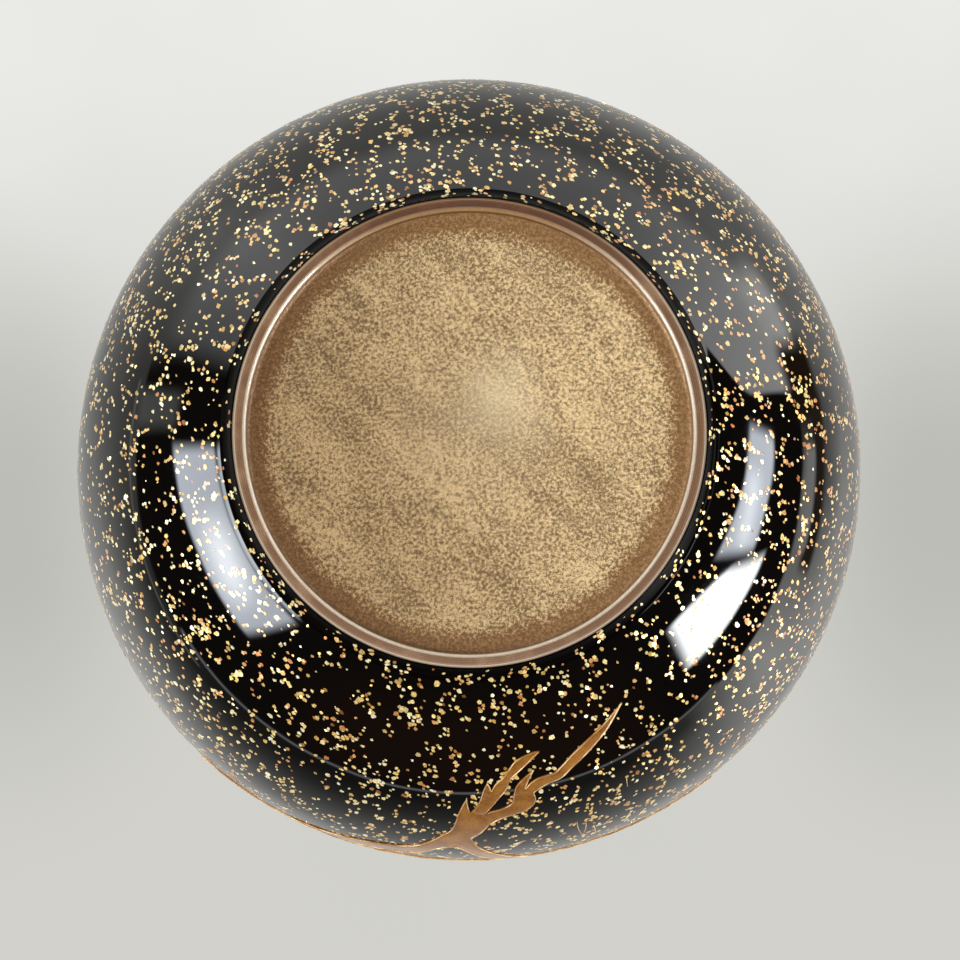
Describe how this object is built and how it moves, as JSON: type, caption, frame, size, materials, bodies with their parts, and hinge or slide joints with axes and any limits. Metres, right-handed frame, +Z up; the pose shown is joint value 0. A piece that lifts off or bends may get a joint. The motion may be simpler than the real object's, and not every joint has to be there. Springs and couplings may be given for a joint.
{
  "type": "lacquered globular bowl",
  "caption": "Globular black lacquer bowl with an incurved mouth, sprinkled gold flakes, a raised gold branch, and a slim foot ring round a recessed gold base.",
  "frame": {"origin": "centre of the foot's resting plane", "axes": "+Z up through the mouth, -Y towards the side with the gold branch, +X to the right seen from that side"},
  "size_m": [0.2, 0.2003, 0.1064],
  "materials": {
    "core_wood": "plain turned wood, sealed",
    "hemp_cloth": "plain weave, stiffened with lacquer",
    "bronze_lacquer": "bronze-gold metallic lacquer over turned wood, satin, with fine lathe lines",
    "gold_ground": "fine gold powder ground over wood, satin",
    "black_lacquer": "deep black lacquer, mirror gloss, sprinkled with gold and copper flakes",
    "inner_lacquer": "black lacquer, gloss",
    "raised_gold": "raised lacquer dusted with gold powder, satin"
  },
  "bodies": {
    "root": {"lower_body": "core_wood", "upper_body": "core_wood", "seam_cloth": "hemp_cloth", "foot_ring": "bronze_lacquer", "base_disc": "gold_ground", "mouth_band": "bronze_lacquer", "lacquer_coat": "black_lacquer", "inner_coat": "inner_lacquer", "gold_long_branch": "raised_gold", "gold_short_branch": "raised_gold", "gold_fork": "raised_gold", "gold_bough": "raised_gold", "gold_rising_branches": "raised_gold", "gold_blossoms": "raised_gold"}
  },
  "joints": []
}
